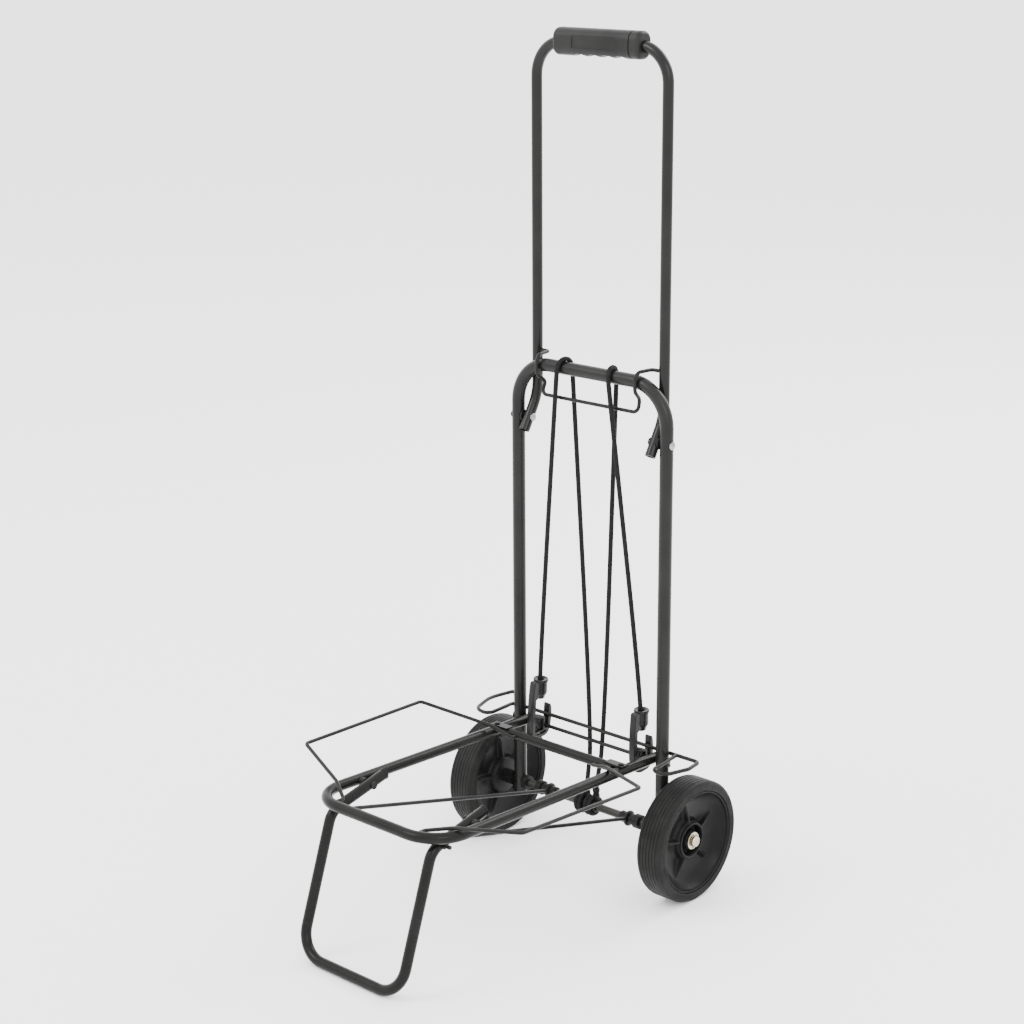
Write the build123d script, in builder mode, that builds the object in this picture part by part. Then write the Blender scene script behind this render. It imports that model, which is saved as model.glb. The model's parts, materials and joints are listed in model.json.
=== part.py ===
"""Folding two-wheel luggage trolley. Millimetres, +Z up, +X along the axle, the load deck towards -Y."""

import math
import os

from build123d import *

os.makedirs("parts", exist_ok=True)

# Wheels and axle
wheel_r = 75.0
wheel_face = 170.0  # outer face of the wheels from the middle
wheel_width = 36.0
tyre_depth = 11.5
axle_r = 5.0
axle_end = 164.0
run_gap = 0.05  # radial clearance of every turning fit

# Main tubes: outer diameters, wall and half spacings
frame_d, handle_d, deck_d, leg_d = 16.0, 13.0, 13.0, 12.7
wall = 1.2
frame_x, handle_x, deck_x, leg_x = 114.0, 97.0, 99.0, 79.0
frame_top = 623.0
frame_foot = 61.0
frame_bend = 50.0
handle_top = 1000.5
handle_bend = 40.0
handle_back = 16.0  # handle tubes stand this far behind the frame tubes
handle_pivot_z = 555.0

# Load deck, drawn flat in its own plane from the pivot forwards
deck_pivot_z = 163.3
deck_tilt = 2.65  # degrees, front end up
deck_length = 374.4
deck_bend = 45.0
deck_tail = 6.5
crossbar_y, crossbar_z, crossbar_d = -60.0, 1.5, 12.0
leg_pivot_y = -300.0  # on the deck plane
wing_x = 64.0
wing_rise = 8.0  # degrees the left wing stands above the right one
wing_corner_left, wing_corner_right = -320.0, -313.0  # front outer corners on the deck plane

# Leg, side view from the axle: foot, knee, pin for the strut and upper end
foot_y, foot_z = -415.0, leg_d / 2
knee_y, knee_z = -360.8, 163.5
leg_bend, foot_bend = 22.0, 33.0
strut_y, strut_x = -347.0, 64.0

# Wires and cords
wire_d = 4.8
wing_d = 4.5
bail_d = 4.5
guard_z, guard_low_z = 172.0, 155.8
hug = 0.05  # gap left where a wire is welded to a tube
cord_d = 5.2
hook_x = 81.0

# Fasteners
rivet_d, leg_rivet_d = 6.0, 5.0
head_d, head_t = 11.0, 1.9

# The row's origin is under the middle of the bounding box, so the axle sits behind it
front_reach = foot_y - leg_d / 2
axle_y = -(front_reach + wheel_r) / 2
cart = Plane(origin=(0, axle_y, 0), x_dir=(1, 0, 0), z_dir=(0, 0, 1))
tilt = math.radians(deck_tilt)
deck = Plane(
    origin=(0, axle_y, deck_pivot_z),
    x_dir=(1, 0, 0),
    z_dir=(0, math.sin(tilt), math.cos(tilt)),
)
axle_z = wheel_r
guard_y = frame_d / 2 + wire_d / 2 + hug
leg_pivot = (leg_pivot_y * math.cos(tilt), deck_pivot_z - leg_pivot_y * math.sin(tilt))
arm_slope = (leg_pivot[1] - knee_z) / (leg_pivot[0] - knee_y)
arm_end_y = -277.5
arm_end_z = leg_pivot[1] + arm_slope * (arm_end_y - leg_pivot[0])
strut_z = leg_pivot[1] + arm_slope * (strut_y - leg_pivot[0])


def bent(plane, points, bend, diameter, bore=0.0):
    """Adds a round bar, or a tube when it has a bore, along a filleted path."""
    with BuildLine(plane) as path:
        if len(points) == 2:
            Line(*points)
        else:
            FilletPolyline(*points, radius=bend)
    with BuildSketch(Plane(origin=path.line @ 0, z_dir=path.line % 0)) as ring:
        Circle(diameter / 2)
        if bore:
            Circle(bore / 2, mode=Mode.SUBTRACT)
    sweep(ring.sketch, path=path.line)


def across(x0, x1, y, z, diameter, plane=cart, mode=Mode.ADD):
    """A cylinder along X between x0 and x1, at y and z of the plane."""
    centre = plane.from_local_coords(Vector((x0 + x1) / 2, y, z))
    with Locations(Location(tuple(centre), (0, 90, 0))):
        Cylinder(diameter / 2, abs(x1 - x0), mode=mode)


def both(points):
    """Closes a right-hand run into a symmetric one by mirroring it in X."""
    return [(-x, y, z) for x, y, z in points] + [(x, y, z) for x, y, z in reversed(points)]


# ---- frame -------------------------------------------------------------------------------------
with BuildPart() as frame_tube:
    bent(cart, both([(frame_x, 0, frame_foot), (frame_x, 0, frame_top)]),
         frame_bend, frame_d, frame_d - 2 * wall)
    for z, hole in ((axle_z, 2 * axle_r), (deck_pivot_z, rivet_d), (handle_pivot_z, rivet_d)):
        across(-frame_x - frame_d, frame_x + frame_d, 0, z, hole + 2 * run_gap, mode=Mode.SUBTRACT)
frame_tube.part.label = "frame_tube"
export_step(frame_tube.part, "parts/frame_tube.step")

cap_lip = 3.0
with BuildPart() as frame_caps:
    for side in (-1, 1):
        foot = cart.from_local_coords(Vector(side * frame_x, 0, frame_foot))
        with BuildSketch(Plane(origin=foot, z_dir=(0, 0, -1))):
            Circle(frame_d / 2)
        extrude(amount=cap_lip)
        with BuildSketch(Plane(origin=foot)):
            Circle(frame_d / 2 - wall - run_gap)
        extrude(amount=6)
frame_caps.part.label = "frame_caps"
export_step(frame_caps.part, "parts/frame_caps.step")

with BuildPart() as axle:
    across(-axle_end, axle_end, 0, axle_z, 2 * axle_r)
    chamfer(axle.edges().filter_by(GeomType.CIRCLE), length=0.8)
axle.part.label = "axle"
export_step(axle.part, "parts/axle.step")

boss_face = 161.0
washer_t = 1.6
with BuildPart() as axle_washers:
    for side in (-1, 1):
        start = side * (boss_face + 0.3)
        across(start, start + side * washer_t, 0, axle_z, 21)
        across(start - side, start + side * (washer_t + 1), 0, axle_z, 2 * (axle_r + run_gap),
               mode=Mode.SUBTRACT)
axle_washers.part.label = "axle_washers"
export_step(axle_washers.part, "parts/axle_washers.step")

nut_end = 168.0
with BuildPart() as axle_caps:
    for side in (-1, 1):
        start = side * (boss_face + 0.4 + washer_t)
        across(start, side * nut_end, 0, axle_z, 14)
    fillet(axle_caps.edges().filter_by(GeomType.CIRCLE).filter_by(
        lambda e: abs(abs(e.arc_center.X) - nut_end) < 0.01), radius=1.4)
    across(-axle_end - 0.1, axle_end + 0.1, 0, axle_z, 2 * (axle_r + run_gap), mode=Mode.SUBTRACT)
axle_caps.part.label = "axle_caps"
export_step(axle_caps.part, "parts/axle_caps.step")

boss_back = 138.0
with BuildPart() as wheel_spacers:
    for side in (-1, 1):
        across(side * (frame_x + frame_d / 2 + hug), side * (boss_back - 0.3), 0, axle_z, 18)
    across(-wheel_face, wheel_face, 0, axle_z, 2 * (axle_r + run_gap), mode=Mode.SUBTRACT)
wheel_spacers.part.label = "wheel_spacers"
export_step(wheel_spacers.part, "parts/wheel_spacers.step")

collar_runs = ((53.0, 60.6, 14.0), (67.4, 75.0, 14.0), (75.0, 83.0, 18.0), (99.0, 105.9, 18.0))
with BuildPart() as axle_collars:
    for side in (-1, 1):
        for x0, x1, d in collar_runs:
            across(side * x0, side * x1, 0, axle_z, d)
    across(-wheel_face, wheel_face, 0, axle_z, 2 * (axle_r + run_gap), mode=Mode.SUBTRACT)
axle_collars.part.label = "axle_collars"
export_step(axle_collars.part, "parts/axle_collars.step")

# Wire guard: one wire that runs behind the frame tubes and makes a flat loop over each wheel
right_loop = [(161, guard_y, guard_z), (164, -14, guard_z), (154, -45, guard_z), (134, -45, guard_z),
              (131, -18, guard_z)]
left_loop = [(-134.3, guard_y, guard_z), (-133.0, -38.5, guard_z), (-156.5, -37.5, guard_z),
             (-170.0, 4, guard_z), (-160.0, 50, guard_z), (-129, 13.5, guard_z)]
with BuildPart() as guard_wire:
    bent(cart, left_loop[::-1] + right_loop, (7, 50, 18, 9, 6, 7, 12, 10, 9), wire_d)
    bent(cart, [right_loop[-1], (127.2, guard_y, guard_z)], 0, wire_d)
guard_wire.part.label = "guard_wire"
export_step(guard_wire.part, "parts/guard_wire.step")

with BuildPart() as guard_cross_wire:
    bent(cart, [(-frame_x - 3, guard_y, guard_low_z), (frame_x + 3, guard_y, guard_low_z)], 0, wire_d)
guard_cross_wire.part.label = "guard_cross_wire"
export_step(guard_cross_wire.part, "parts/guard_cross_wire.step")

with BuildPart() as handle_rivets:
    for side in (-1, 1):
        inner, outer = handle_x - handle_d / 2 - hug, frame_x + frame_d / 2 + hug
        across(side * (inner - head_t), side * (outer + head_t), 0, handle_pivot_z, rivet_d)
        across(side * (inner - head_t), side * inner, 0, handle_pivot_z, head_d)
        across(side * outer, side * (outer + head_t), 0, handle_pivot_z, head_d)
handle_rivets.part.label = "handle_rivets"
export_step(handle_rivets.part, "parts/handle_rivets.step")

with BuildPart() as handle_washers:
    for side in (-1, 1):
        x0, x1 = handle_x + handle_d / 2 + hug, frame_x - frame_d / 2 - hug
        across(side * x0, side * x1, 0, handle_pivot_z, 14)
    across(-frame_x, frame_x, 0, handle_pivot_z, rivet_d + 2 * run_gap, mode=Mode.SUBTRACT)
handle_washers.part.label = "handle_washers"
export_step(handle_washers.part, "parts/handle_washers.step")

with BuildPart() as deck_rivets:
    for side in (-1, 1):
        inner, outer = deck_x - deck_d / 2 - hug, frame_x + frame_d / 2 + hug
        across(side * (inner - head_t), side * (outer + head_t), 0, deck_pivot_z, rivet_d)
        across(side * (inner - head_t), side * inner, 0, deck_pivot_z, head_d)
        across(side * outer, side * (outer + head_t), 0, deck_pivot_z, head_d)
deck_rivets.part.label = "deck_rivets"
export_step(deck_rivets.part, "parts/deck_rivets.step")

# Saddle on the middle of the axle that both elastic cords start from
anchor_x, anchor_y, anchor_top = 7.5, 6.5, 90.0
with BuildPart() as cord_anchor:
    middle = cart.from_local_coords(Vector(-1.5, 0, 0))
    with BuildSketch(Plane(origin=middle, x_dir=(0, 1, 0), z_dir=(1, 0, 0))):
        with Locations((0, axle_z)):
            Circle(axle_r + 4.5)
        with Locations((2.0, (axle_z + anchor_top) / 2)):
            Rectangle(16, anchor_top - axle_z)
    extrude(amount=17, both=True)
    fillet(cord_anchor.edges().filter_by(Axis.X).sort_by(Axis.Z)[-2:], radius=4)
    for x in (-anchor_x - 1.5, anchor_x - 1.5):
        with Locations(cart.from_local_coords(Vector(x, anchor_y, anchor_top))):
            Cylinder(cord_d / 2 + run_gap, 14, mode=Mode.SUBTRACT)
    across(-wheel_face, wheel_face, 0, axle_z, 2 * (axle_r + run_gap), mode=Mode.SUBTRACT)
cord_anchor.part.label = "cord_anchor"
export_step(cord_anchor.part, "parts/cord_anchor.step")

# Elastic cords: from the hook, over the frame's top bar, down behind the guard and to the saddle
wrap = frame_d / 2 + cord_d / 2 + 0.35
behind = guard_y + wire_d / 2 + cord_d / 2 + 0.35
collar_low, collar_top, collar_r = 196.0, 222.0, 7.2


def cord_run(hook_side, front_x, back_x, guard_x, end_x):
    """The centre line of one cord, hook end first."""
    return [
        (hook_side * hook_x, 0, collar_low + 6),
        (hook_side * hook_x, 0, collar_top + 10),
        (front_x, -wrap, frame_top + wrap),
        (back_x, wrap, frame_top + wrap),
        (guard_x, behind, guard_low_z - 3),
        (end_x, anchor_y, anchor_top + 12),
        (end_x, anchor_y, anchor_top - 5),
    ]


cord_bends = (14, wrap - 0.1, wrap - 0.1, 12, 7)
with BuildPart() as cord_left:
    bent(cart, cord_run(-1, -42, -38.5, -9, -anchor_x - 1.5), cord_bends, cord_d)
cord_left.part.label = "cord_left"
export_step(cord_left.part, "parts/cord_left.step")

with BuildPart() as cord_right:
    bent(cart, cord_run(1, 34, 30.5, 10, anchor_x - 1.5), cord_bends, cord_d)
cord_right.part.label = "cord_right"
export_step(cord_right.part, "parts/cord_right.step")

# Moulded hooks that hang on both guard wires, which lie one above the other in the slot behind the web
hook_w = 9.0
shank_front, shank_back = -16.0, -11.0
slot_front, slot_back = guard_y - wire_d / 2 - 0.4, guard_y + wire_d / 2 + 0.4
tip_back = slot_back + 4.5
seat_z = guard_low_z - wire_d / 2 - 0.1


def hook(side):
    """One hook: shank, web, slot for the wires, tip behind them and the cord's collar."""
    middle = cart.from_local_coords(Vector(side * hook_x, 0, 0))
    with BuildSketch(Plane(origin=middle, x_dir=(0, 1, 0), z_dir=(1, 0, 0))) as side_view:
        with BuildLine():
            Polyline(
                (shank_front, 221), (shank_front, 152), (-9, 143), (9, 142), (tip_back, 150),
                (tip_back, 184), (slot_back, 184), (slot_back, seat_z), (slot_front, seat_z),
                (slot_front, 168), (shank_back, 176), (shank_back, 197), (-3, 200), (-3, 217),
                (shank_back, 221), close=True)
        make_face()
        fillet(side_view.vertices(), radius=1.2)
    extrude(side_view.sketch, amount=hook_w / 2, both=True)
    collar = cart.from_local_coords(Vector(side * hook_x, 0, (collar_low + collar_top) / 2))
    with Locations(collar):
        Cylinder(collar_r, collar_top - collar_low)
    with Locations(collar + Vector(0, 0, 3)):
        Cylinder(cord_d / 2 + run_gap, collar_top - collar_low, mode=Mode.SUBTRACT)


with BuildPart() as hook_left:
    hook(-1)
hook_left.part.label = "hook_left"
export_step(hook_left.part, "parts/hook_left.step")

with BuildPart() as hook_right:
    hook(1)
hook_right.part.label = "hook_right"
export_step(hook_right.part, "parts/hook_right.step")

# ---- wheels ------------------------------------------------------------------------------------
rim_r = wheel_r - tyre_depth
hub_ring_r = 22.0
disc_x, disc_t = 147.0, 4.0
rib_count, rib_t, rib_end, rib_turn = 5, 3.6, 53.0, 8.0


def wheel_section(points):
    """A closed half-section of the right wheel, radius against distance from the middle."""
    with BuildSketch(Plane(origin=cart.from_local_coords(Vector(0, 0, axle_z)), x_dir=(1, 0, 0),
                           z_dir=(0, -1, 0))) as section:
        with BuildLine():
            Polyline(*points, close=True)
        make_face()
    return section.sketch


def hub(side):
    """Moulded wheel centre with ribs on both faces."""
    inner, outer = wheel_face - wheel_width + 1.5, wheel_face - 1.5
    section = wheel_section([
        (side * boss_back, axle_r + run_gap), (side * boss_face, axle_r + run_gap),
        (side * boss_face, 11.5), (side * (boss_face - 10), 12), (side * (boss_face - 10), 18.8),
        (side * boss_face, 19.6), (side * boss_face, hub_ring_r), (side * (disc_x + disc_t), 25),
        (side * (disc_x + disc_t), 52), (side * (outer - 3), rim_r - 3.4), (side * outer, rim_r - 3.0),
        (side * outer, rim_r - run_gap), (side * inner, rim_r - run_gap),
        (side * inner, rim_r - 3.4), (side * (disc_x - 1), 54), (side * disc_x, 52),
        (side * disc_x, 25), (side * boss_back, 22)])
    revolve(section, axis=Axis(cart.from_local_coords(Vector(0, 0, axle_z)), (1, 0, 0)))
    for number in range(rib_count):
        turn = Location(cart.from_local_coords(Vector(0, 0, axle_z)),
                        (90 + rib_turn + 360 / rib_count * number, 0, 0))
        with BuildSketch(Plane(turn)) as rib:
            with BuildLine():
                Polyline((side * (disc_x - 7), hub_ring_r - 1), (side * (boss_face - 2), hub_ring_r - 1),
                         (side * (disc_x + disc_t + 1.5), rib_end), (side * (disc_x - 5), rib_end),
                         close=True)
            make_face()
        extrude(rib.sketch, amount=rib_t / 2, both=True)


def tyre(side):
    """Solid rubber tyre with shallow grooves round its tread."""
    inner, outer = wheel_face - wheel_width, wheel_face
    tread = []
    grooves = 5
    pitch = (wheel_width - 10) / grooves
    for number in range(grooves):
        x = inner + 5 + pitch * (number + 0.5)
        tread += [(x - 1, wheel_r), (x - 0.5, wheel_r - 1), (x + 0.5, wheel_r - 1), (x + 1, wheel_r)]
    points = [(inner + 1.4, rim_r), (inner, rim_r + 1.2), (inner, wheel_r - 4), (inner + 1.2, wheel_r - 1.2),
              (inner + 4, wheel_r)] + tread + [
              (outer - 4, wheel_r), (outer - 1.2, wheel_r - 1.2), (outer, wheel_r - 4),
              (outer, rim_r + 1.2), (outer - 1.4, rim_r)]
    section = wheel_section([(side * x, r) for x, r in points])
    revolve(section, axis=Axis(cart.from_local_coords(Vector(0, 0, axle_z)), (1, 0, 0)))


with BuildPart() as hub_left:
    hub(-1)
hub_left.part.label = "hub_left"
export_step(hub_left.part, "parts/hub_left.step")

with BuildPart() as hub_right:
    hub(1)
hub_right.part.label = "hub_right"
export_step(hub_right.part, "parts/hub_right.step")

with BuildPart() as tyre_left:
    tyre(-1)
tyre_left.part.label = "tyre_left"
export_step(tyre_left.part, "parts/tyre_left.step")

with BuildPart() as tyre_right:
    tyre(1)
tyre_right.part.label = "tyre_right"
export_step(tyre_right.part, "parts/tyre_right.step")

# ---- load deck ---------------------------------------------------------------------------------
with BuildPart() as deck_tube:
    bent(deck, both([(deck_x, deck_tail, 0), (deck_x, -deck_length, 0)]),
         deck_bend, deck_d, deck_d - 2 * wall)
    across(-frame_x, frame_x, 0, 0, rivet_d + 2 * run_gap, deck, Mode.SUBTRACT)
    for side in (-1, 1):
        across(side * (deck_x - deck_d), side * (deck_x + deck_d / 2 - 0.6), leg_pivot_y, 0,
               leg_rivet_d + 2 * run_gap, deck, Mode.SUBTRACT)
        hinge = deck.from_local_coords(Vector(side * wing_x, -deck_length + deck_d / 2, crossbar_z))
        with Locations(Location(hinge, (90 - deck_tilt, 0, 0))):
            Cylinder(wing_d / 2 + run_gap, 10, mode=Mode.SUBTRACT)
        drill = deck.from_local_coords(Vector(side * deck_x, crossbar_y, deck_d / 2))
        with Locations(Location(drill, (-deck_tilt, 0, 0))):
            Cylinder(2 + run_gap, 8, mode=Mode.SUBTRACT)
deck_tube.part.label = "deck_tube"
export_step(deck_tube.part, "parts/deck_tube.step")

lap_low, lap_t, lap_w = deck_d / 2 + hug, 1.8, 12.0
with BuildPart() as deck_crossbar:
    bent(deck, [(-88, crossbar_y, crossbar_z), (88, crossbar_y, crossbar_z)], 0, crossbar_d)
    for side in (-1, 1):
        lap = deck.from_local_coords(Vector(side * 91.5, crossbar_y, lap_low + lap_t / 2))
        with Locations(Location(lap, (-deck_tilt, 0, 0))):
            Box(27, lap_w, lap_t)
        drill = deck.from_local_coords(Vector(side * deck_x, crossbar_y, lap_low))
        with Locations(Location(drill, (-deck_tilt, 0, 0))):
            Cylinder(2 + run_gap, 8, mode=Mode.SUBTRACT)
        hinge = deck.from_local_coords(Vector(side * wing_x, crossbar_y - crossbar_d / 2, crossbar_z))
        with Locations(Location(hinge, (90 - deck_tilt, 0, 0))):
            Cylinder(wing_d / 2 + run_gap, 18, mode=Mode.SUBTRACT)
deck_crossbar.part.label = "deck_crossbar"
export_step(deck_crossbar.part, "parts/deck_crossbar.step")

with BuildPart() as crossbar_rivets:
    for side in (-1, 1):
        for z, length, d in ((deck_d / 2 + 0.4, 6.4, 4.0), (lap_low + lap_t + hug + 0.6, 1.2, 7.0)):
            at = deck.from_local_coords(Vector(side * deck_x, crossbar_y, z))
            with Locations(Location(at, (-deck_tilt, 0, 0))):
                Cylinder(d / 2, length)
crossbar_rivets.part.label = "crossbar_rivets"
export_step(crossbar_rivets.part, "parts/crossbar_rivets.step")

with BuildPart() as deck_caps:
    for side in (-1, 1):
        tail = deck.from_local_coords(Vector(side * deck_x, deck_tail, 0))
        with BuildSketch(Plane(origin=tail, z_dir=deck.y_dir)):
            Circle(deck_d / 2)
        extrude(amount=1.2)
deck_caps.part.label = "deck_caps"
export_step(deck_caps.part, "parts/deck_caps.step")

with BuildPart() as leg_rivets:
    for side in (-1, 1):
        inner = leg_x - leg_d / 2 - hug
        across(side * (inner - 1.6), side * (deck_x + deck_d / 2 - 0.8), leg_pivot_y, 0, leg_rivet_d, deck)
        across(side * (inner - 1.6), side * inner, leg_pivot_y, 0, 9, deck)
leg_rivets.part.label = "leg_rivets"
export_step(leg_rivets.part, "parts/leg_rivets.step")

with BuildPart() as leg_spacers:
    for side in (-1, 1):
        x0, x1 = leg_x + leg_d / 2 + hug, deck_x - deck_d / 2 - hug
        across(side * x0, side * x1, leg_pivot_y, 0, 10, deck)
    across(-frame_x, frame_x, leg_pivot_y, 0, leg_rivet_d + 2 * run_gap, deck, Mode.SUBTRACT)
leg_spacers.part.label = "leg_spacers"
export_step(leg_spacers.part, "parts/leg_spacers.step")

# ---- folding leg -------------------------------------------------------------------------------
with BuildPart() as leg_tube:
    bent(cart, both([(leg_x, arm_end_y, arm_end_z), (leg_x, knee_y, knee_z), (leg_x, foot_y, foot_z)]),
         (leg_bend, foot_bend, foot_bend, leg_bend), leg_d, leg_d - 2 * wall)
    across(-frame_x, frame_x, leg_pivot[0], leg_pivot[1], leg_rivet_d + 2 * run_gap, mode=Mode.SUBTRACT)
    across(-frame_x, frame_x, strut_y, strut_z, wire_d + 2 * run_gap, mode=Mode.SUBTRACT)
leg_tube.part.label = "leg_tube"
export_step(leg_tube.part, "parts/leg_tube.step")

arm_way = Vector(0, 1, arm_slope).normalized()
with BuildPart() as leg_caps:
    for side in (-1, 1):
        end = cart.from_local_coords(Vector(side * leg_x, arm_end_y, arm_end_z))
        with BuildSketch(Plane(origin=end, z_dir=arm_way)):
            Circle(leg_d / 2 + 0.4)
        extrude(amount=2)
        with BuildSketch(Plane(origin=end, z_dir=-arm_way)):
            Circle(leg_d / 2 - wall - run_gap)
        extrude(amount=8)
leg_caps.part.label = "leg_caps"
export_step(leg_caps.part, "parts/leg_caps.step")

pin_in, pin_out = leg_x - leg_d / 2 - 0.2, leg_x + leg_d / 2 + 9
with BuildPart() as strut_pins:
    for side in (-1, 1):
        across(side * pin_in, side * pin_out, strut_y, strut_z, wire_d)
        across(side * (leg_x + leg_d / 2 + hug), side * (leg_x + leg_d / 2 + 1.2), strut_y, strut_z, 8)
strut_pins.part.label = "strut_pins"
export_step(strut_pins.part, "parts/strut_pins.step")

# ---- struts ------------------------------------------------------------------------------------
eye_r = axle_r + run_gap + wire_d / 2
strut_way = Vector(0, strut_y, strut_z - axle_z).normalized()


def strut(side):
    """A wire with an eye round the axle and an end turned outwards to the leg's pin."""
    start = Vector(side * strut_x, 0, axle_z) + strut_way * eye_r
    bent(cart, [tuple(start), (side * strut_x, strut_y, strut_z),
                (side * (pin_in - 0.4), strut_y, strut_z)], 4, wire_d)
    with Locations(Location(cart.from_local_coords(Vector(side * strut_x, 0, axle_z)), (0, 90, 0))):
        Torus(eye_r, wire_d / 2)


with BuildPart() as strut_left:
    strut(-1)
strut_left.part.label = "strut_left"
export_step(strut_left.part, "parts/strut_left.step")

with BuildPart() as strut_right:
    strut(1)
strut_right.part.label = "strut_right"
export_step(strut_right.part, "parts/strut_right.step")

# ---- side wings --------------------------------------------------------------------------------
wing_front = -deck_length + 3.0
wing_rear = crossbar_y + 2.0


def wing(side, rise, corner_y):
    """A trapezoid of wire hinged in both crossbars, arched over the deck's side tube."""
    shape = [(0, wing_front, 0), (0, -356, 0), (28.5, -342, 7.1), (105, corner_y, 15.5),
             (112, -121, 16.2), (28.5, -80, 7.1), (0, -72, 0), (0, wing_rear, 0)]
    lift = math.radians(rise)
    points = []
    for out, y, z in shape:
        across_x = out * math.cos(lift) - z * math.sin(lift)
        up = out * math.sin(lift) + z * math.cos(lift)
        points.append((side * (wing_x + across_x), y, crossbar_z + up))
    bent(deck, points, 6, wing_d)


with BuildPart() as wing_left:
    wing(-1, wing_rise, wing_corner_left)
wing_left.part.label = "wing_left"
export_step(wing_left.part, "parts/wing_left.step")

with BuildPart() as wing_right:
    wing(1, 0, wing_corner_right)
wing_right.part.label = "wing_right"
export_step(wing_right.part, "parts/wing_right.step")

# ---- handle ------------------------------------------------------------------------------------
bail_z = 635.5
handle_low = [(handle_x, -9, 539.5), (handle_x, handle_back, 582)]
with BuildPart() as handle_tube:
    bent(cart, both(handle_low + [(handle_x, handle_back, handle_top)]),
         (60, handle_bend, handle_bend, 60), handle_d, handle_d - 2 * wall)
    across(-frame_x, frame_x, 0, handle_pivot_z, rivet_d + 2 * run_gap, mode=Mode.SUBTRACT)
    across(-handle_x, handle_x, handle_back, bail_z, bail_d + 2 * run_gap, mode=Mode.SUBTRACT)
handle_tube.part.label = "handle_tube"
export_step(handle_tube.part, "parts/handle_tube.step")

grip_half, grip_w, grip_h, grip_round = 63.0, 26.5, 31.5, 11.0
grip_z = handle_top + 0.5
ring_x, ring_w, ring_depth = 49.0, 1.4, 1.2  # groove in front of the end cap, on the right end only
scallops, scallop_pitch, scallop_mid, scallop_r, scallop_depth = 4, 20.0, 3.3, 17.0, 3.0
panel_l, panel_h, panel_depth = 62.0, 15.0, 0.6  # shallow panels on both sides
with BuildPart() as grip:
    start = cart.from_local_coords(Vector(-grip_half, handle_back, grip_z))
    with BuildSketch(Plane(origin=start, x_dir=(0, 1, 0), z_dir=(1, 0, 0))):
        RectangleRounded(grip_w, grip_h, grip_round)
    extrude(amount=2 * grip_half)
    fillet(grip.faces().filter_by(Axis.X).edges(), radius=4.5)
    groove = cart.from_local_coords(Vector(ring_x, handle_back, grip_z))
    with BuildSketch(Plane(origin=groove, x_dir=(0, 1, 0), z_dir=(1, 0, 0))):
        Rectangle(2 * grip_w, 2 * grip_h)
        RectangleRounded(grip_w - 2 * ring_depth, grip_h - 2 * ring_depth, grip_round - ring_depth,
                         mode=Mode.SUBTRACT)
    extrude(amount=ring_w, mode=Mode.SUBTRACT)
    for side in (-1, 1):
        panel = cart.from_local_coords(Vector(-2, handle_back + side * grip_w / 2, grip_z + 1))
        with Locations(panel):
            Box(panel_l, 2 * panel_depth, panel_h, mode=Mode.SUBTRACT)
    for number in range(scallops):
        x = scallop_mid + scallop_pitch * (number - (scallops - 1) / 2)
        with Locations(Location(cart.from_local_coords(Vector(
                x, handle_back, grip_z - grip_h / 2 - scallop_r + scallop_depth)), (90, 0, 0))):
            Cylinder(scallop_r, grip_w, mode=Mode.SUBTRACT)
    bent_path = both([(handle_x, handle_back, handle_top - 90), (handle_x, handle_back, handle_top)])
    with BuildLine(cart) as bore_path:
        FilletPolyline(*bent_path, radius=handle_bend)
    with BuildSketch(Plane(origin=bore_path.line @ 0, z_dir=bore_path.line % 0)):
        Circle(handle_d / 2 + run_gap)
    sweep(path=bore_path.line, mode=Mode.SUBTRACT)
grip.part.label = "grip"
export_step(grip.part, "parts/grip.step")

bail_front = -(frame_d / 2 + bail_d / 2 + 0.35)
with BuildPart() as bail:
    bent(cart, both([(94, handle_back, bail_z), (79, handle_back, bail_z), (75, bail_front, bail_z),
                     (75, bail_front, 613), (72, 2, 602), (74, -3, 587)]),
         (5, 9, 7, 6, 7, 7, 6, 7, 9, 5), bail_d)
bail.part.label = "bail"
export_step(bail.part, "parts/bail.step")
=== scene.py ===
"""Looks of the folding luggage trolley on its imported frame: camera, materials, cords and detailed pieces."""

import json
import math

import bmesh
import bpy
from mathutils import Matrix, Vector


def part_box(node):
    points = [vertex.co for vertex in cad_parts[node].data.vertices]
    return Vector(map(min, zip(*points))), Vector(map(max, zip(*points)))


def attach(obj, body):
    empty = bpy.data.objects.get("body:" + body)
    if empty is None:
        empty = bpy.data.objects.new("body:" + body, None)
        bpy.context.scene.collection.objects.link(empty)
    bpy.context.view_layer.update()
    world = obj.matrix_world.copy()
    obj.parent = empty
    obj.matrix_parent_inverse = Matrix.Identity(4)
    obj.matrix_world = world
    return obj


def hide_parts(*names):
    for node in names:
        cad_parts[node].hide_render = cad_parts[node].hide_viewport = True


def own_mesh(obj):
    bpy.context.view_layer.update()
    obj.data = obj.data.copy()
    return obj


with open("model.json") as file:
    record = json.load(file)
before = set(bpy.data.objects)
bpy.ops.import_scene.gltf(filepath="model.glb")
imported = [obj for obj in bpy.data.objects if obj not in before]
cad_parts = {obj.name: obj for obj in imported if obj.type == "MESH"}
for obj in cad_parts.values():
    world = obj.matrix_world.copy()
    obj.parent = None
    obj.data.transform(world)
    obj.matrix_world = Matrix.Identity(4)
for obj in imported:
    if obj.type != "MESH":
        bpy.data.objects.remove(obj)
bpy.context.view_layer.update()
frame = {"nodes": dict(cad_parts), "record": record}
nodes = frame["nodes"]

# Places read from the frame, in metres
axle_low, axle_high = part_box("axle")
axle = (axle_low + axle_high) / 2
MM = 0.001


def from_axle(x, y, z):
    """A point given in millimetres from the floor under the middle of the axle."""
    return Vector((x * MM, axle.y + y * MM, z * MM))


# ---- camera ------------------------------------------------------------------------------------
AZIMUTH, ELEVATION, ROLL = math.radians(42.13), math.radians(16.31), math.radians(-0.38)
DISTANCE, ASIDE, AIM_HEIGHT = 2.59654, -0.09338, 0.45301
LENS_MM, SENSOR_MM = 76.47, 36.0


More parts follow.
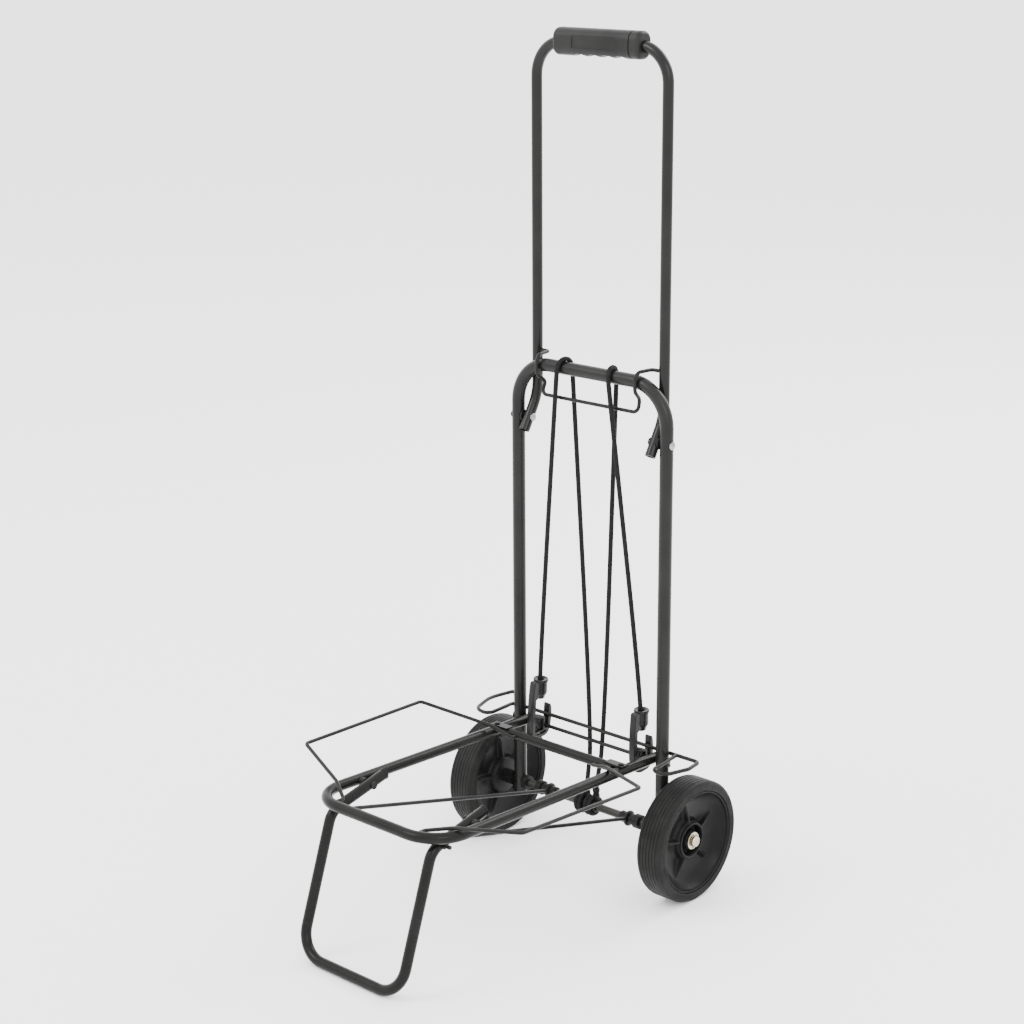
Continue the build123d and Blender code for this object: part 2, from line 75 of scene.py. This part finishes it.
def make_camera():
    back = Vector((math.sin(AZIMUTH) * math.cos(ELEVATION), -math.cos(AZIMUTH) * math.cos(ELEVATION),
                   math.sin(ELEVATION)))
    level = Vector((math.cos(AZIMUTH), math.sin(AZIMUTH), 0))
    upward = back.cross(level)
    right = level * math.cos(ROLL) + upward * math.sin(ROLL)
    up = upward * math.cos(ROLL) - level * math.sin(ROLL)
    data = bpy.data.cameras.new("camera")
    data.lens, data.sensor_width = LENS_MM, SENSOR_MM
    data.clip_start, data.clip_end = 0.05, 50
    camera = bpy.data.objects.new("camera", data)
    place = Vector((0, axle.y, AIM_HEIGHT)) + right * ASIDE + back * DISTANCE
    camera.matrix_world = Matrix.Translation(place) @ Matrix((right, up, back)).transposed().to_4x4()
    bpy.context.scene.collection.objects.link(camera)
    bpy.context.scene.camera = camera


make_camera()


# ---- materials ---------------------------------------------------------------------------------
CLOUD_LOW, CLOUD_HIGH = 0.32, 0.68  # noise where the colour is all dark and all light
GLOSS_LOW, GLOSS_HIGH, GLOSS_FINER = 0.3, 0.7, 3.1
SPECK_SIZE, SPECK_LOW, SPECK_HIGH = 1900, 0.66, 0.80
RELIEF_DEPTH = 0.0002


def finish_of(name, dark, light, cloud, rough, grain, bump, cells=False, metallic=0.0, specular=0.1,
              speckle=0.0, stretch=(1, 1, 1)):
    """Cloudy colour between dark and light, uneven gloss, a fine grain in the bump and paler specks."""
    paint = bpy.data.materials.new(name)
    paint.use_nodes = True
    tree = paint.node_tree
    shader = tree.nodes["Principled BSDF"]
    shader.inputs["Metallic"].default_value = metallic
    shader.inputs["Specular IOR Level"].default_value = specular

    def add(kind, links=(), **values):
        node = tree.nodes.new(kind)
        for key, value in values.items():
            setattr(node, key, value)
        for socket, source in links:
            tree.links.new(source, node.inputs[socket])
        return node

    place = add("ShaderNodeTexCoord").outputs["Object"]
    spread = add("ShaderNodeMapping", [("Vector", place)])
    spread.inputs["Scale"].default_value = stretch
    place = spread.outputs["Vector"]

    def noise(scale, detail, roughness=0.55):
        made = add("ShaderNodeTexNoise", [("Vector", place)])
        made.inputs["Scale"].default_value = scale
        made.inputs["Detail"].default_value = detail
        made.inputs["Roughness"].default_value = roughness
        return made.outputs["Fac"]

    def ramp(source, stops):
        made = add("ShaderNodeValToRGB", [("Fac", source)])
        first, last = made.color_ramp.elements
        first.position, last.position = stops[0][0], stops[1][0]
        first.color, last.color = (*stops[0][1], 1), (*stops[1][1], 1)
        return made.outputs["Color"]

    colour = ramp(noise(cloud, 5), [(CLOUD_LOW, dark), (CLOUD_HIGH, light)])
    if speckle:
        specks = ramp(noise(SPECK_SIZE, 2), [(SPECK_LOW, (0, 0, 0)), (SPECK_HIGH, (speckle,) * 3)])
        mixed = add("ShaderNodeMix", data_type="RGBA", blend_type="ADD")
        mixed.inputs["Factor"].default_value = 1
        tree.links.new(colour, mixed.inputs["A"])
        tree.links.new(specks, mixed.inputs["B"])
        colour = mixed.outputs["Result"]
    tree.links.new(colour, shader.inputs["Base Color"])

    low, high = rough
    gloss = add("ShaderNodeMapRange", [("Value", noise(cloud * GLOSS_FINER, 4))])
    for socket, value in (("From Min", GLOSS_LOW), ("From Max", GLOSS_HIGH),
                          ("To Min", low), ("To Max", high)):
        gloss.inputs[socket].default_value = value
    tree.links.new(gloss.outputs["Result"], shader.inputs["Roughness"])

    if cells:
        height = add("ShaderNodeTexVoronoi", [("Vector", place)])
        height.inputs["Scale"].default_value = grain
        height = height.outputs["Distance"]
    else:
        height = noise(grain, 3)
    relief = add("ShaderNodeBump", [("Height", height)])
    relief.inputs["Strength"].default_value = bump
    relief.inputs["Distance"].default_value = RELIEF_DEPTH
    tree.links.new(relief.outputs["Normal"], shader.inputs["Normal"])
    return paint


# Each slot: name, dark and light colour, size of the clouds, least and most roughness, grain and bump
finishes = {
    "frame_paint": finish_of(
        "satin_black", (0.0050, 0.0052, 0.0049), (0.0101, 0.0102, 0.0095),
        16, (0.26, 0.36), 950, 0.1, specular=0.161, speckle=0.005),
    "deck_paint": finish_of(
        "satin_black_deck", (0.0038, 0.0039, 0.0036), (0.0080, 0.0082, 0.0075),
        20, (0.22, 0.32), 950, 0.12, specular=0.105, speckle=0.005),
    "leg_paint": finish_of(
        "satin_black_leg", (0.0038, 0.0039, 0.0036), (0.0080, 0.0082, 0.0075),
        18, (0.22, 0.32), 950, 0.12, specular=0.105, speckle=0.005),
    "handle_paint": finish_of(
        "gloss_black", (0.0045, 0.0046, 0.0043), (0.0090, 0.0091, 0.0084),
        14, (0.2, 0.28), 1100, 0.07, specular=0.175, speckle=0.004),
    "wire_paint": finish_of(
        "black_wire", (0.0050, 0.0052, 0.0049), (0.0101, 0.0102, 0.0095),
        40, (0.28, 0.4), 1400, 0.12, specular=0.133, speckle=0.005),
    "axle_steel": finish_of(
        "dark_steel", (0.0168, 0.0162, 0.0151), (0.0560, 0.0538, 0.0493),
        60, (0.34, 0.5), 1500, 0.2, metallic=0.9, specular=0.42, stretch=(0.1, 1, 1)),
    "bright_zinc": finish_of(
        "zinc_plate", (0.40, 0.35, 0.27), (0.66, 0.60, 0.50),
        130, (0.2, 0.34), 1700, 0.25, metallic=1.0, specular=0.5),
    "rivet_steel": finish_of(
        "rivet_head", (0.16, 0.16, 0.165), (0.36, 0.36, 0.36),
        150, (0.18, 0.3), 1700, 0.22, metallic=1.0, specular=0.5),
    "hub_plastic": finish_of(
        "hub_black", (0.0030, 0.0030, 0.0032), (0.0068, 0.0068, 0.0070),
        24, (0.30, 0.42), 1300, 0.22, specular=0.09, speckle=0.003),
    "tyre_rubber": finish_of(
        "black_rubber", (0.0045, 0.0046, 0.0043), (0.0105, 0.0106, 0.0102),
        30, (0.42, 0.58), 1500, 0.35, specular=0.098, speckle=0.006),
    "grip_plastic": finish_of(
        "grip_grain", (0.0064, 0.0066, 0.0063), (0.0118, 0.0120, 0.0115),
        26, (0.38, 0.48), 820, 0.4, cells=True, specular=0.14),
    "trim_plastic": finish_of(
        "moulded_black", (0.0042, 0.0042, 0.0042), (0.0087, 0.0087, 0.0087),
        50, (0.38, 0.5), 1300, 0.3, cells=True, specular=0.112),
    "hook_plastic": finish_of(
        "hook_black", (0.0056, 0.0057, 0.0055), (0.0120, 0.0123, 0.0118),
        60, (0.24, 0.36), 1500, 0.15, specular=0.154),
    "cord_elastic": finish_of(
        "woven_black", (0.0036, 0.0036, 0.0036), (0.0112, 0.0112, 0.0112),
        500, (0.55, 0.75), 3600, 0.5, specular=0.084),
}
slot_of = {row["node"]: row["material_slot"] for row in frame["record"]["subparts"]}
for name, node in nodes.items():
    node.data.materials.clear()
    node.data.materials.append(finishes[slot_of[name]])
    for polygon in node.data.polygons:
        polygon.use_smooth = True


# ---- building blocks ---------------------------------------------------------------------------
def piece(name, mesh, body, slot, stands_for=(), crease=math.radians(38)):
    """A mesh as a piece of the object: smooth but for edges sharper than the crease."""
    shape = bmesh.new()
    shape.from_mesh(mesh)
    bmesh.ops.recalc_face_normals(shape, faces=shape.faces)
    for edge in shape.edges:
        edge.smooth = edge.is_boundary or edge.calc_face_angle(0) < crease
    for face in shape.faces:
        face.smooth = True
    shape.to_mesh(mesh)
    shape.free()
    mesh.materials.clear()
    mesh.materials.append(finishes[slot])
    obj = bpy.data.objects.new(name, mesh)
    bpy.context.scene.collection.objects.link(obj)
    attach(obj, body)
    if stands_for:
        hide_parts(*stands_for)
    return obj


def mesh_of(name, points, faces):
    mesh = bpy.data.meshes.new(name)
    mesh.from_pydata([tuple(point) for point in points], [], faces)
    return mesh


def ring_faces(rings, columns, first=0, closed=False):
    """Quads between successive rings of vertices, and from the last to the first when closed."""
    faces = []
    for ring in range(rings if closed else rings - 1):
        for column in range(columns):
            after = (column + 1) % columns
            low, high = first + ring * columns, first + (ring + 1) % rings * columns
            faces.append((low + column, low + after, high + after, high + column))
    return faces


def turned(profile, centre, columns=72, upright=False):
    """Points and faces of a closed profile of (offset, radius) in mm, turned about X, or Z if upright."""
    points = []
    for offset, radius in profile:
        for column in range(columns):
            turn = 2 * math.pi * column / columns
            a, b = radius * MM * math.cos(turn), radius * MM * math.sin(turn)
            out = (a, b, offset * MM) if upright else (offset * MM, a, b)
            points.append(centre + Vector(out))
    return points, ring_faces(len(profile), columns, closed=True)


def joined(name, parts):
    """One mesh out of several (points, faces) pairs."""
    points, faces = [], []
    for more, ways in parts:
        faces += [tuple(index + len(points) for index in face) for face in ways]
        points += list(more)
    return mesh_of(name, points, faces)


def mirrored(profile, side):
    return [(side * offset, radius) for offset, radius in profile]


def line_points(route, steps):
    """Points along the smooth line of a NURBS curve, read from the curve with no bevel."""
    curve = bpy.data.curves.new("line", "CURVE")
    curve.dimensions = "3D"
    curve.resolution_u = steps
    spline = curve.splines.new("NURBS")
    spline.points.add(len(route) - 1)
    for point, place in zip(spline.points, route):
        point.co = (*place, 1)
    spline.order_u = 3
    spline.use_endpoint_u = True
    holder = bpy.data.objects.new("line", curve)
    bpy.context.scene.collection.objects.link(holder)
    mesh = bpy.data.meshes.new_from_object(holder)
    line = [vertex.co.copy() for vertex in mesh.vertices]
    bpy.data.objects.remove(holder)
    bpy.data.meshes.remove(mesh)
    return line


def along(line, pitch):
    """The same line with points a pitch apart."""
    even, left = [line[0]], pitch
    for start, end in zip(line, line[1:]):
        run = (end - start).length
        while run >= left > 0:
            start = start.lerp(end, left / run)
            even.append(start)
            run, left = run - left, pitch
        left -= run
    if (even[-1] - line[-1]).length > pitch / 2:
        even.append(line[-1])
    return even


def braid(line, diameter, columns=24, strands=8, lay=11.0, weave=0.09):
    """A woven sleeve round the line: two crossing sets of strands that pass over and under each other."""
    points = []
    side = (line[1] - line[0]).orthogonal().normalized()
    far = 0.0
    for index, place in enumerate(line):
        way = (line[min(index + 1, len(line) - 1)] - line[max(index - 1, 0)]).normalized()
        side = (side - way * side.dot(way)).normalized()
        other = way.cross(side)
        far += (place - line[index - 1]).length / MM if index else 0
        for column in range(columns):
            turn = 2 * math.pi * column / columns
            twist = 2 * math.pi * far / lay
            one = math.sin(strands / 2 * (turn + twist))
            two = math.sin(strands / 2 * (turn - twist))
            radius = diameter / 2 + 0.5 * weave * MM * one * two
            points.append(place + (side * math.cos(turn) + other * math.sin(turn)) * radius)
    faces = ring_faces(len(line), columns)
    faces.append(tuple(range(columns)))
    faces.append(tuple(range(len(points) - 1, len(points) - 1 - columns, -1)))
    return points, faces


# ---- elastic cords -----------------------------------------------------------------------------
CORD_D = 0.0058
FRONT, TOP_Y, BEHIND, ANCHOR_Y, OVER = -10.95, 10.95, 15.8, 6.5, 633.95
# From the axle up behind the guard, over the frame's top bar and down to the hook
cord_routes = {
    "left": [(-9, ANCHOR_Y, 85), (-9, ANCHOR_Y, 102), (-9, BEHIND, 152.8), (-36.7, 11.2, 603),
             (-38.5, TOP_Y, OVER), (-42, FRONT, OVER), (-44.9, FRONT, 603), (-81, 0, 232), (-81, 0, 202)],
    "right": [(6, ANCHOR_Y, 85), (6, ANCHOR_Y, 102), (10, BEHIND, 152.8), (29.2, 11.2, 603),
              (30.5, TOP_Y, OVER), (34, FRONT, OVER), (37.6, FRONT, 603), (81, 0, 232), (81, 0, 202)],
}
LINE_STEP = 0.0011
WOVEN_CREASE = math.radians(80)


def make_cord(side):
    route = [from_axle(*point) for point in cord_routes[side]]
    line = along(line_points(route, 40), LINE_STEP)
    points, faces = braid(line, CORD_D)
    cord = piece(f"elastic_cord_{side}", mesh_of(f"{side}_sleeve", points, faces), "frame", "cord_elastic",
                 (f"cord_{side}",), crease=WOVEN_CREASE)
    return cord, line


cords = {side: make_cord(side) for side in ("left", "right")}


# ---- hooks -------------------------------------------------------------------------------------
UPRIGHT = Matrix(((0, 0, 1, 0), (1, 0, 0, 0), (0, 1, 0, 0), (0, 0, 0, 1)))  # flat (x, y) to (y, z)


def plate(name, outlines, half_width, rounding, middle):
    """Outlines in (y, z) mm, the first solid and the others holes, thickened along X with rounded edges."""
    curve = bpy.data.curves.new(name, "CURVE")
    curve.dimensions, curve.fill_mode = "2D", "BOTH"
    curve.extrude = (half_width - rounding) * MM
    curve.bevel_depth, curve.bevel_resolution = rounding * MM, 3
    curve.offset = -rounding * MM
    curve.resolution_u = 8
    for outline in outlines:
        spline = curve.splines.new("BEZIER")
        spline.bezier_points.add(len(outline) - 1)
        for point, (y, z, soft) in zip(spline.bezier_points, outline):
            point.co = (y * MM, z * MM, 0)
            point.handle_left_type = point.handle_right_type = "AUTO" if soft else "VECTOR"
        spline.use_cyclic_u = True
    holder = bpy.data.objects.new(name, curve)
    bpy.context.scene.collection.objects.link(holder)
    mesh = bpy.data.meshes.new_from_object(holder)
    bpy.data.objects.remove(holder)
    mesh.transform(Matrix.Translation(middle) @ UPRIGHT)
    points = [vertex.co.copy() for vertex in mesh.vertices]
    faces = [tuple(polygon.vertices) for polygon in mesh.polygons]
    bpy.data.meshes.remove(mesh)
    return points, faces


# Side view in (y, z) mm; 1 is a soft corner and 0 a sharp one
HOOK_OUTLINE = [
    (-16, 215, 1), (-14.6, 220, 1), (-11, 220.6, 0), (-3.2, 217, 0), (-3.2, 200, 0), (-11, 196, 0),
    (-11, 177, 0), (7.45, 169, 0), (7.45, 153.4, 0), (13.45, 153.4, 0), (13.45, 183, 0), (15.6, 184, 1),
    (17.6, 182.4, 1), (17.7, 151.5, 1), (13.5, 144.6, 1), (4, 142.2, 1), (-6, 142.6, 1), (-13.2, 146.6, 1),
    (-16, 154, 1)]
HOOK_WINDOW = [(-10.4, 172.4, 0), (-10.4, 152, 0), (4.4, 152, 0), (4.4, 166.4, 0)]
HOOK_SLOT = [(-8, 149.2, 1), (-2, 147.4, 1), (6, 147.4, 1), (10, 149.6, 1), (4, 149.6, 1), (-2, 149.6, 1)]
HOOK_LATTICE = [((-10.8, 158), (-4.5, 151.6)), ((-10.8, 165), (2, 151.8)), ((-10.8, 172), (4.8, 156)),
                ((-6, 171.6), (4.8, 163)), ((4.8, 158), (-1.6, 151.6)), ((4.8, 165), (-8, 151.8)),
                ((1, 168.6), (-10.8, 156)), ((-4.6, 171.2), (-10.8, 164.4))]
LATTICE_HALF, LEAN_HEIGHT = 0.55, 195
COLLAR = [(195.5, 2.8), (195.5, 4.4), (196.4, 5.8), (201, 7.0), (202.4, 8.2), (205, 8.8), (217, 8.4),
          (218.4, 8.6), (219, 9.4), (221.4, 9.5), (222.2, 9.0), (222.2, 6.4), (220.6, 3.8), (216, 2.8)]
LEAN = {"left": math.radians(4.0), "right": math.radians(1.0)}  # tops lean towards +X


def make_hook(side, x):
    middle = from_axle(x, 0, 0)
    parts = [plate("hook_body", [HOOK_OUTLINE, HOOK_WINDOW, HOOK_SLOT], 4.5, 0.9, middle)]
    for (y0, z0), (y1, z1) in HOOK_LATTICE:
        run = math.hypot(y1 - y0, z1 - z0)
        ny, nz = -(z1 - z0) / run * LATTICE_HALF, (y1 - y0) / run * LATTICE_HALF
        bar = [(y0 + ny, z0 + nz, 0), (y1 + ny, z1 + nz, 0), (y1 - ny, z1 - nz, 0), (y0 - ny, z0 - nz, 0)]
        parts.append(plate("hook_lattice", [bar], 1.9, 0.25, middle))
    parts.append(turned(COLLAR, middle, 40, upright=True))
    mesh = joined(f"hook_{side}_moulding", parts)
    pivot = from_axle(x, 0, LEAN_HEIGHT)
    lean = Matrix.Rotation(LEAN[side], 4, "Y")
    mesh.transform(Matrix.Translation(pivot) @ lean @ Matrix.Translation(-pivot))
    return piece(f"cord_hook_{side}", mesh, "frame", "hook_plastic", (f"hook_{side}",))


hooks = {side: make_hook(side, x) for side, x in (("left", -81), ("right", 81))}
for hook in hooks.values():
    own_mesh(hook)


# ---- wheels ------------------------------------------------------------------------------------
WHEEL_MID, WHEEL_R, RIM_R = 152, 75, 63.4
TREAD_GROOVES, TREAD_HALF = 6, 11.5
# Ribs: how many, the first one's turn, half width, foot, and the radii between which they run out
RIBS, RIB_TURN, RIB_HALF, RIB_EDGE, RIB_FOOT, RIB_ENDS = 5, math.radians(8), 1.5, 0.8, 2.4, (46, 54.5)
RIB_STEPS = [-6.4, -4.4, -3.3, -2.4, -1.7, -0.9, 0, 0.9, 1.7, 2.4, 3.3, 4.4, 6.4]
STEPS_BETWEEN = 9
# The bearing ring with the boss, and the radii of the bowl, from the ring out to the rim
HUB_MIDDLE = [(9.0, 5.1), (9.0, 11.2), (8.7, 11.5), (-0.8, 12.0), (-1.0, 12.3), (-1.0, 18.4), (-0.8, 18.7),
              (8.4, 19.3), (9.0, 19.9), (9.15, 20.6), (9.0, 21.4), (8.4, 22.0)]
BOWL_RADII = [22.2, 22.8, 23.6, 24.6, 26, 27.5, 29, 31, 33, 35, 37, 39, 41, 43, 45, 47, 49, 50.5, 52, 53.5,
              55, 56.5, 58, 59.2, 60.2]
# Both rims, with the seat of the tyre between them
HUB_RIMS = [(15.2, 60.5), (16.4, 60.8), (16.8, 61.3), (16.8, 62.3), (16.0, 62.7), (15.4, 63.0),
            (15.4, RIM_R), (-15.4, RIM_R), (-15.4, 63.0), (-16.4, 62.6), (-16.8, 62.0), (-16.6, 61.0),
            (-15.4, 60.5)]
HUB_BACK = [(-13.6, 21.9), (-14.0, 21.2), (-14.0, 5.1)]
# Each face: height of the ring's end, the bowl's floor and its rim, and the ribs' tops and their fall
OUTER_FACE, INNER_FACE = (6.5, -0.6, 14.6, 7.6, 5.8), (12.5, 4.6, 14.6, 12.6, 1.0)


def tyre_profile():
    """Section of the tyre in (offset from its mid-plane, radius): stepped walls and a grooved tread."""
    wall = [(17.0, RIM_R + 0.1), (18.0, 64.6), (18.0, 66.0), (17.55, 66.3), (17.55, 66.9), (18.0, 67.2),
            (18.0, 68.6), (17.6, 68.9), (17.6, 69.4), (17.9, 69.7), (17.9, 70.8), (17.5, 71.0), (17.4, 71.5),
            (17.5, 71.8), (16.9, 73.1), (15.9, 74.1), (14.6, 74.7), (13.0, 74.95)]
    tread = []
    for number in range(TREAD_GROOVES):
        place = TREAD_HALF - 2 * TREAD_HALF * number / (TREAD_GROOVES - 1)
        tread += [(place + 0.75, 75.0), (place + 0.45, 74.45), (place - 0.45, 74.45), (place - 0.75, 75.0)]
    return wall + tread + [(-offset, radius) for offset, radius in reversed(wall)]


def smooth_step(low, high, value):
    share = min(1.0, max(0.0, (value - low) / (high - low)))
    return share * share * (3 - 2 * share)


def bowl(radius, ring_end, floor, rim):
    """Height of the dished face at a radius: a low floor round the ring that sweeps up to the rim."""
    slope = 1.6
    return (ring_end + (floor - ring_end) * smooth_step(22.2, 27, radius) +
            slope * smooth_step(28, 46, radius) +
            (rim - floor - slope) * max(0.0, (radius - 43) / 17.5) ** 1.9)


def rib_height(height, radius, aside, top, fall):
    """Height of a face where a rib stands on it, this far aside from the rib's middle."""
    crest = top - fall * ((radius - 22) / 31) ** 1.3
    rise = 1 - smooth_step(RIB_HALF - RIB_EDGE, RIB_HALF + RIB_FOOT, abs(aside))
    rise *= 1 - smooth_step(*RIB_ENDS, radius)
    return height + max(0.0, crest - height) * rise


def hub_mesh(side):
    """The moulded hub as rings of points, from the bore over both faces and back."""
    rings = [(offset, radius, 0) for offset, radius in HUB_MIDDLE]
    rings += [(bowl(radius, *OUTER_FACE[:3]), radius, 1) for radius in BOWL_RADII]
    rings += [(offset, radius, 0) for offset, radius in HUB_RIMS]
    rings += [(-bowl(radius, *INNER_FACE[:3]), radius, -1) for radius in reversed(BOWL_RADII)]
    rings += [(offset, radius, 0) for offset, radius in HUB_BACK]
    away = 99  # aside from every rib
    points = []
    for offset, radius, face in rings:
        ribs = OUTER_FACE[3:] if face > 0 else INNER_FACE[3:]
        for rib in range(RIBS):
            middle = RIB_TURN + 2 * math.pi * rib / RIBS + math.pi / 2
            reach = max(radius, 11)
            turns = [(middle + aside / reach, aside) for aside in RIB_STEPS]
            start, end = turns[-1][0], middle + 2 * math.pi / RIBS - RIB_STEPS[-1] / reach
            turns += [(start + (end - start) * (step + 1) / (STEPS_BETWEEN + 1), away)
                      for step in range(STEPS_BETWEEN)]
            for turn, aside in turns:
                place = face * rib_height(face * offset, radius, aside, *ribs) if face else offset
                points.append(from_axle(side * (WHEEL_MID + place), radius * math.cos(turn),
                                        WHEEL_R + radius * math.sin(turn)))
    return points, ring_faces(len(rings), RIBS * (len(RIB_STEPS) + STEPS_BETWEEN), closed=True)


for name, side in (("left", -1), ("right", 1)):
    middle = from_axle(side * WHEEL_MID, 0, WHEEL_R)
    points, faces = turned(mirrored(tyre_profile(), side), middle, columns=180)
    piece(f"rubber_tyre_{name}", mesh_of("tyre", points, faces), f"wheel_{name}", "tyre_rubber",
          (f"tyre_{name}",), crease=math.radians(24))
    points, faces = hub_mesh(side)
    piece(f"wheel_hub_{name}", mesh_of("hub", points, faces), f"wheel_{name}", "hub_plastic",
          (f"hub_{name}",), crease=math.radians(50))


# ---- axle fittings and rivets ------------------------------------------------------------------
def fittings(name, node, body, slot, profile, places, columns=40):
    """The same turned part at several places; each place is a centre and the side it faces."""
    parts = [turned(mirrored(profile, side), centre, columns) for centre, side in places]
    return piece(name, joined(name, parts), body, slot, (node,), crease=math.radians(34))


WASHER = [(161.3, 5.1), (161.3, 10.2), (161.5, 10.45), (162.7, 10.45), (162.9, 10.2), (162.9, 8.9),
          (162.7, 8.7), (161.7, 8.6), (161.6, 8.4), (161.6, 5.1)]
AXLE_CAP = [(161.7, 5.1), (161.7, 5.6), (163.0, 5.9), (163.0, 6.6), (163.3, 6.95), (166.2, 6.95),
            (167.2, 6.5), (167.8, 5.6), (167.95, 4.2), (167.6, 3.9), (167.5, 3.0), (167.7, 2.6),
            (167.75, 0.05), (164.2, 0.05), (164.2, 5.1)]
axle_middle = from_axle(0, 0, WHEEL_R)
both_ends = [(axle_middle, 1), (axle_middle, -1)]
fittings("zinc_washers", "axle_washers", "frame", "bright_zinc", WASHER, both_ends)
fittings("zinc_axle_caps", "axle_caps", "frame", "bright_zinc", AXLE_CAP, both_ends)


RIVET_SEAT, RIVET_SHANK, RIVET_HEAD, RIVET_THICK = 122.05, 2.95, 4.9, 1.6
# A head as shares of its thickness and radius, domed with a dimple
RIVET_DOME = [(0, 1), (0.35, 1), (0.62, 0.9), (0.74, 0.7), (0.70, 0.56), (0.78, 0.5), (0.95, 0.36)]


def rivet_profile(inner):
    """A rivet through the frame tube from its inner head seat, both heads domed."""
    dome = [(out * RIVET_THICK, share * RIVET_HEAD) for out, share in RIVET_DOME] + [(RIVET_THICK, 0.05)]
    return ([(inner - out, radius) for out, radius in reversed(dome)] +
            [(inner, RIVET_SHANK), (RIVET_SEAT, RIVET_SHANK)] +
            [(RIVET_SEAT + out, radius) for out, radius in dome])


for name, node, inner, slot in (("handle_pivot_rivets", "handle_rivets", 90.45, "rivet_steel"),
                                ("deck_pivot_rivets", "deck_rivets", 92.45, "axle_steel")):
    low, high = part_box(node)
    centre = Vector((0, (low.y + high.y) / 2, (low.z + high.z) / 2))
    fittings(name, node, "frame", slot, rivet_profile(inner), [(centre, 1), (centre, -1)], columns=36)


# ---- cord ends on the axle ---------------------------------------------------------------------
def loop_line(x, radius, turns, drift):
    """Points of a few turns round the axle that drift along it."""
    count = int(turns * 40)
    line = []
    for step in range(count + 1):
        turn = 2 * math.pi * turns * step / count
        line.append(from_axle(x + drift * step / count, -radius * math.sin(turn),
                              WHEEL_R + radius * math.cos(turn)))
    return line


CLAMP = [(-6.4, 2.7), (-6.4, 4.0), (-5.6, 4.7), (-2.2, 4.5), (-1.2, 4.0), (1.2, 4.0), (2.2, 4.5),
         (5.6, 4.7), (6.4, 4.0), (6.4, 2.7)]
SADDLE = [(-8.6, 5.1), (-8.6, 6.6), (-7.8, 7.2), (7.8, 7.2), (8.6, 6.6), (8.6, 5.1)]
CLAMP_HEIGHT, LOOP_R, LOOP_TURNS, LOOP_SPREAD = 89.5, 10.0, 2.0, 10.8
anchor_parts, loop_parts = [], []
for x in (-9, 6):
    loop_parts.append(braid(loop_line(x - LOOP_SPREAD / 2, LOOP_R, LOOP_TURNS, LOOP_SPREAD), CORD_D))
    anchor_parts.append(turned(CLAMP, from_axle(x, ANCHOR_Y, CLAMP_HEIGHT), 28, upright=True))
    anchor_parts.append(turned(SADDLE, from_axle(x, 0, WHEEL_R), 36))
piece("cord_loops_on_axle", joined("cord_loops", loop_parts), "frame", "cord_elastic", ("cord_anchor",),
      crease=WOVEN_CREASE)
piece("cord_end_clamps", joined("clamps", anchor_parts), "frame", "trim_plastic")


# ---- floor and light ---------------------------------------------------------------------------
# Each light: place and size in metres, and watts
LIGHTS = [("key", (-1.6, -2.6, 3.4), 1.8, 110), ("fill", (2.8, -1.2, 2.4), 1.6, 40),
          ("back", (0.4, 3.0, 2.8), 1.8, 90)]
LIT_HEIGHT, SKY_STRENGTH = 0.45, 3.0


def make_stage():
    bpy.ops.mesh.primitive_plane_add(size=40)
    floor = bpy.context.object
    floor.name = "floor"
    paint = bpy.data.materials.new("floor_paint")
    paint.use_nodes = True
    shader = paint.node_tree.nodes["Principled BSDF"]
    shader.inputs["Base Color"].default_value = (0.96, 0.96, 0.96, 1)
    shader.inputs["Roughness"].default_value = 0.9
    shader.inputs["Specular IOR Level"].default_value = 0.1
    floor.data.materials.append(paint)
    world = bpy.data.worlds.new("world")
    world.use_nodes = True
    world.node_tree.nodes["Background"].inputs["Color"].default_value = (1, 1, 1, 1)
    world.node_tree.nodes["Background"].inputs["Strength"].default_value = SKY_STRENGTH
    bpy.context.scene.world = world
    for name, place, size, power in LIGHTS:
        data = bpy.data.lights.new(name, "AREA")
        data.size, data.energy = size, power
        light = bpy.data.objects.new(name, data)
        light.location = place
        aim = Vector((0, 0, LIT_HEIGHT)) - Vector(place)
        light.rotation_euler = aim.to_track_quat("-Z", "Y").to_euler()
        bpy.context.scene.collection.objects.link(light)


make_stage()
